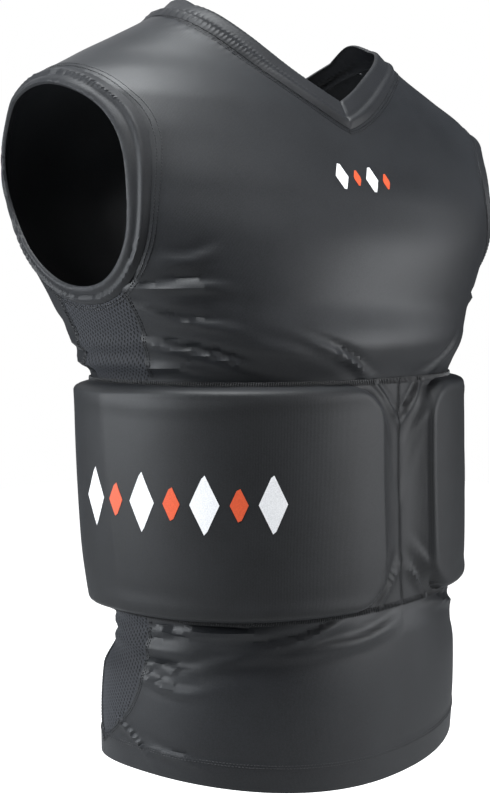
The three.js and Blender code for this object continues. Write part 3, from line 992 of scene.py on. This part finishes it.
# Lays a drawn line onto the cloth. The second result is the same line on the bare torso.
def surface_path(line, find_around, rise, lift):
    fine = resample(np.column_stack([line, np.zeros(len(line))]), PATH_SPACING)
    z = fine[:, 1]
    around = find_around(fine[:, 0], z)
    p = torso(around, z)
    return on_surface(around, z, rise(around, z, p) + lift), p


def armhole_stitches(side):
    made = []
    for row, shift in enumerate(STITCH_ROWS):
        ring = outline_shift(ARMHOLE, shift)
        ring = np.concatenate([ring, ring[:1]])
        path, _ = surface_path(ring, around_for_y(side), body_rise, STITCH_LIFT)
        made.append(run_stitches(f"armhole_{side_word(side)}_stitch_row_{row}", path))
    return made


def neck_path(front, distance, rise):
    edge = outline_shift(NECK_FRONT if front else NECK_BACK, distance)[:NECK_POINTS]
    line = np.concatenate([edge[:0:-1] * np.array([-1, 1]), edge])
    if front:
        line = line[line[:, 1] < NECK_SIDE_HEIGHT]
    path, _ = surface_path(line, around_for_x(front), rise, STITCH_LIFT)
    return path


def neck_stitches():
    made = []
    rows = [(shift, body_rise) for shift in STITCH_ROWS] + [(-COLLAR_SEAM, collar_rise)]
    for row, (shift, rise) in enumerate(rows):
        made.append(run_stitches(f"neck_front_stitch_row_{row}", neck_path(True, shift, rise)))
        made.append(run_stitches(f"neck_back_stitch_row_{row}", neck_path(False, shift, rise)))
    return made


def ring_path(z, low, high, rise, count):
    around = np.linspace(low, high, count) % 1
    heights = np.full(count, float(z))
    return on_surface(around, heights, rise(around, heights, torso(around, heights)))


def hem_rise(u, z, p):
    return body_rise(u, z, p) + SIDE_STITCH_LIFT


def hem_stitches():
    made = []
    for row, z in enumerate(HEM_STITCH_ROWS):
        made.append(run_stitches(f"hem_stitch_row_{row}", ring_path(z, 0, 1, hem_rise, 1200)))
    return made


# Rows beside the mesh panels, left out under the band and at the armholes.
def panel_stitches(side):
    made = []
    for row, shift in enumerate(PANEL_STITCH_ROWS):
        line = outline_shift(PANEL, shift)
        path, p = surface_path(line, around_for_y(side), body_rise, SIDE_STITCH_LIFT)
        z = p[:, 2]
        shown = (in_armhole(p) < -0.5) & ((z < BAND_BOTTOM - 7) | (z > BAND_TOP + 7))
        breaks = np.where(np.diff(shown.astype(int)) != 0)[0] + 1
        for k, group in enumerate(np.split(np.arange(len(z)), breaks)):
            if len(group) > 4 and shown[group[0]]:
                made.append(run_stitches(f"side_seam_{side_word(side)}_{row}_{k}", path[group]))
    return made


# Overlock: slanted threads that wrap a seam.
def overlock(name, path, across, spacing=2.0, radius=0.46):
    centres = resample(path, spacing)
    along = np.gradient(centres, axis=0)
    along /= np.linalg.norm(along, axis=1, keepdims=True)
    reach = np.array(across) * OVERLOCK_WIDTH / 2 + along * spacing * 0.35
    return capsules(name, place(centres - reach), place(centres + reach), radius / 1000, THREAD)


def band_seam(z, name):
    def rise(u, heights, p):
        return cover_outer(run_from_front(u, heights), heights) + BAND_OVERLOCK_LIFT

    return overlock(name, ring_path(z, 0.001, 0.999, rise, 1600), (0.0, 0.0, 1.0))


def centre_seam(front):
    z = np.linspace(BAND_BOTTOM - FLANGE + 1, BAND_TOP + FLANGE - 1, 140)
    around = np.full(140, 0.0 if front else 0.5)
    rise = cover_outer(around * girth(z), z) + CENTRE_OVERLOCK_LIFT
    name = "centre_front_overlock" if front else "centre_back_overlock"
    return overlock(name, on_surface(around, z, rise), (1.0, 0.0, 0.0))


# Print: a strip of lozenges, made as thin films that follow the cloth.
def lozenge(run, z, centre_run, centre_z, half_run, half_z):
    return 1 - np.abs(run - centre_run) / half_run - np.abs(z - centre_z) / half_z


def film(name, side, centre_run, centre_z, half_run, half_z, surface, material, step=2.0):
    low, high = centre_run - half_run, centre_run + half_run
    mid_girth = float(girth(np.array([centre_z]))[0])
    us = np.linspace(low / mid_girth, high / mid_girth, max(6, int(2 * half_run / step)))
    if side < 0:
        us = 1 - us[::-1]
    zs = np.linspace(centre_z - half_z, centre_z + half_z, max(6, int(2 * half_z / step)))
    u, z = (axis.ravel() for axis in np.meshgrid(us, zs))
    value = lozenge(run_from_front(u, z), z, centre_run, centre_z, half_run, half_z)
    u, z, tris = cut_triangles(u, z, grid_triangles(len(us), len(zs)), value)
    return sheet_object(name, u, z, tris, surface(u, z) + FILM_HIGH, FILM_HIGH - FILM_LOW, material)


# Strips of lozenges: name, side (0 across the middle), first run, height, count, pitch, half width, half
# height, and the cloth beneath. Every second lozenge is smaller.
SMALL_SHARE = 0.62
PRINT_TABLE = [
    ["pad_print_right", -1, 136.0, 236.0, 7, 24.0, 10.5, 25.0, "cover"],
    ["pad_print_left", 1, 136.0, 236.0, 7, 24.0, 10.5, 25.0, "cover"],
    ["chest_print", 0, -24.0, 497.0, 4, 16.0, 6.5, 13.0, "body"],
]


def cover_surface(u, z):
    return cover_outer(run_from_front(u, z), z)


def body_surface(u, z):
    return body_rise(u, z, torso(u, z))


def print_strip(name, side, first, height, count, pitch, half_run, half_z, kind):
    surface = cover_surface if kind == "cover" else body_surface
    made = []
    for k in range(count):
        run = first + k * pitch
        which = side if side else (1 if run >= 0 else -1)
        size, material = (1.0, WHITE) if k % 2 == 0 else (SMALL_SHARE, ORANGE)
        halves = (half_run * size, half_z * size)
        made.append(film(f"{name}_{k}", which, abs(run), height, *halves, surface, material))
    return made


# A pale floor well under the hem. It glows for the camera only, so its white doesn't light the cloth.
FLOOR_SIZE = 4.0
FLOOR_DROP = 420.0


def floor():
    size, low = FLOOR_SIZE, -(SHOULDER_REST + FLOOR_DROP) / 1000
    material, nodes, links, shader = node_material("pale_floor")
    shader.inputs["Base Color"].default_value = (0.5, 0.5, 0.5, 1)
    shader.inputs["Roughness"].default_value = 0.9
    shader.inputs["Emission Color"].default_value = (1, 1, 1, 1)
    ray = add(nodes, "ShaderNodeLightPath")
    links.new(ray.outputs["Is Camera Ray"], shader.inputs["Emission Strength"])
    corners = [(-size, -size, low), (size, -size, low), (size, size, low), (-size, size, low)]
    make_object("floor", corners, [(0, 1, 2, 3)], material, smooth=False)


# Light and camera.
def area_light(name, azimuth, elevation, distance, size, power, color=(1, 1, 1)):
    a, e = math.radians(azimuth), math.radians(elevation)
    back = Vector((math.sin(a) * math.cos(e), -math.cos(a) * math.cos(e), math.sin(e)))
    data = bpy.data.lights.new(name, "AREA")
    data.shape, data.size, data.energy, data.color = "DISK", size, power, color
    light = bpy.data.objects.new(name, data)
    centre = Vector((0, 0, -0.28))
    light.location = centre + back * distance
    light.rotation_mode = "QUATERNION"
    light.rotation_quaternion = (-back).to_track_quat("-Z", "Y")
    bpy.context.scene.collection.objects.link(light)


def lights():
    area_light("front_soft", 8, 40, 2.6, 0.8, 9)
    area_light("top_soft", -62, 72, 2.2, 0.6, 112, (0.95, 0.98, 1.0))
    area_light("left_side", -116, 10, 1.9, 0.6, 50, (0.92, 0.96, 1.0))
    area_light("right_side", 38, 4, 2.0, 0.6, 34, (0.95, 0.97, 1.0))
    area_light("back_fill", 170, 38, 3.0, 2.4, 12)
    world = bpy.data.worlds.new("studio")
    world.use_nodes = True
    nodes, links = world.node_tree.nodes, world.node_tree.links
    around = nodes["Background"]
    around.inputs[0].default_value = (0.93, 0.95, 1.0, 1)
    around.inputs[1].default_value = 0.04
    wall = nodes.new("ShaderNodeBackground")
    wall.inputs[0].default_value = (1.0, 1.0, 1.0, 1)
    ray = nodes.new("ShaderNodeLightPath")
    mix = nodes.new("ShaderNodeMixShader")
    links.new(ray.outputs["Is Camera Ray"], mix.inputs[0])
    links.new(around.outputs[0], mix.inputs[1])
    links.new(wall.outputs[0], mix.inputs[2])
    links.new(mix.outputs[0], nodes["World Output"].inputs[0])
    bpy.context.scene.world = world
    bpy.context.scene.view_settings.view_transform = "Standard"


# The camera stands at the wearer's right front. Millimetres, degrees, and the focal length in pixels.
CAMERA_AZIMUTH, CAMERA_DISTANCE, CAMERA_HEIGHT = -44.9, 1200.0, 394.0
CAMERA_DOWN, CAMERA_ASIDE, CAMERA_FOCAL = 4.22, 1.3, 1308.0
IMAGE_HEIGHT, SENSOR = 800, 36


def camera():
    azimuth, down, aside = (math.radians(a) for a in (CAMERA_AZIMUTH, CAMERA_DOWN, CAMERA_ASIDE))
    data = bpy.data.cameras.new("photo_camera")
    data.lens = CAMERA_FOCAL / IMAGE_HEIGHT * SENSOR
    data.sensor_width = SENSOR
    cam = bpy.data.objects.new("photo_camera", data)
    x = math.sin(azimuth) * CAMERA_DISTANCE
    y = -math.cos(azimuth) * CAMERA_DISTANCE - SHOULDER_SETBACK
    cam.location = Vector((x, y, CAMERA_HEIGHT - SHOULDER_REST)) / 1000
    around = Matrix.Rotation(azimuth + aside, 4, "Z")
    turn = around @ Matrix.Rotation(math.pi / 2 - down, 4, "X")
    cam.rotation_mode = "QUATERNION"
    cam.rotation_quaternion = turn.to_quaternion()
    bpy.context.scene.collection.objects.link(cam)
    bpy.context.scene.camera = cam


def declare(obj, nodes=(), flat=None, area=None):
    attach(obj, "root")
    if nodes:
        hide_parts(*nodes)


front = body_panel("front_panel_cloth", -0.34, 0.34, True)
back = body_panel("back_panel_cloth", 0.16, 0.84, False)
mesh_right, mesh_left = side_mesh(-1), side_mesh(1)
neck = collar()
arm_right, arm_left = armhole_band(-1), armhole_band(1)
cover_right, cover_left = pocket_cover(-1), pocket_cover(1)
plate_right, plate_left = foam_plate(-1), foam_plate(1)

seams = neck_stitches() + hem_stitches()
seams += armhole_stitches(-1) + armhole_stitches(1) + panel_stitches(-1) + panel_stitches(1)
seams += [
    band_seam(BAND_TOP + OVERLOCK_OFFSET, "band_top_overlock"),
    band_seam(BAND_BOTTOM - OVERLOCK_OFFSET, "band_bottom_overlock"),
    centre_seam(True),
    centre_seam(False),
]
prints = []
for row in PRINT_TABLE:
    prints += print_strip(*row)

declare(front, ["front_panel"], FRONT_FLAT, FRONT_AREA)
declare(back, ["back_panel"], BACK_FLAT, BACK_AREA)
declare(mesh_right, ["side_mesh_right"], SIDE_MESH_FLAT, SIDE_MESH_AREA)
declare(mesh_left, ["side_mesh_left"], SIDE_MESH_FLAT, SIDE_MESH_AREA)
declare(neck, ["collar_band"], COLLAR_FLAT, COLLAR_AREA)
declare(arm_right, ["armhole_band_right"], ARMHOLE_FLAT, ARMHOLE_AREA)
declare(arm_left, ["armhole_band_left"], ARMHOLE_FLAT, ARMHOLE_AREA)
declare(cover_right, ["pocket_right"], POCKET_FLAT, POCKET_AREA)
declare(cover_left, ["pocket_left"], POCKET_FLAT, POCKET_AREA)
declare(plate_right, ["rib_pad_right"])
declare(plate_left, ["rib_pad_left"])
for seam in seams:
    declare(seam)
for film_piece in prints:
    declare(film_piece)

floor()
lights()
camera()
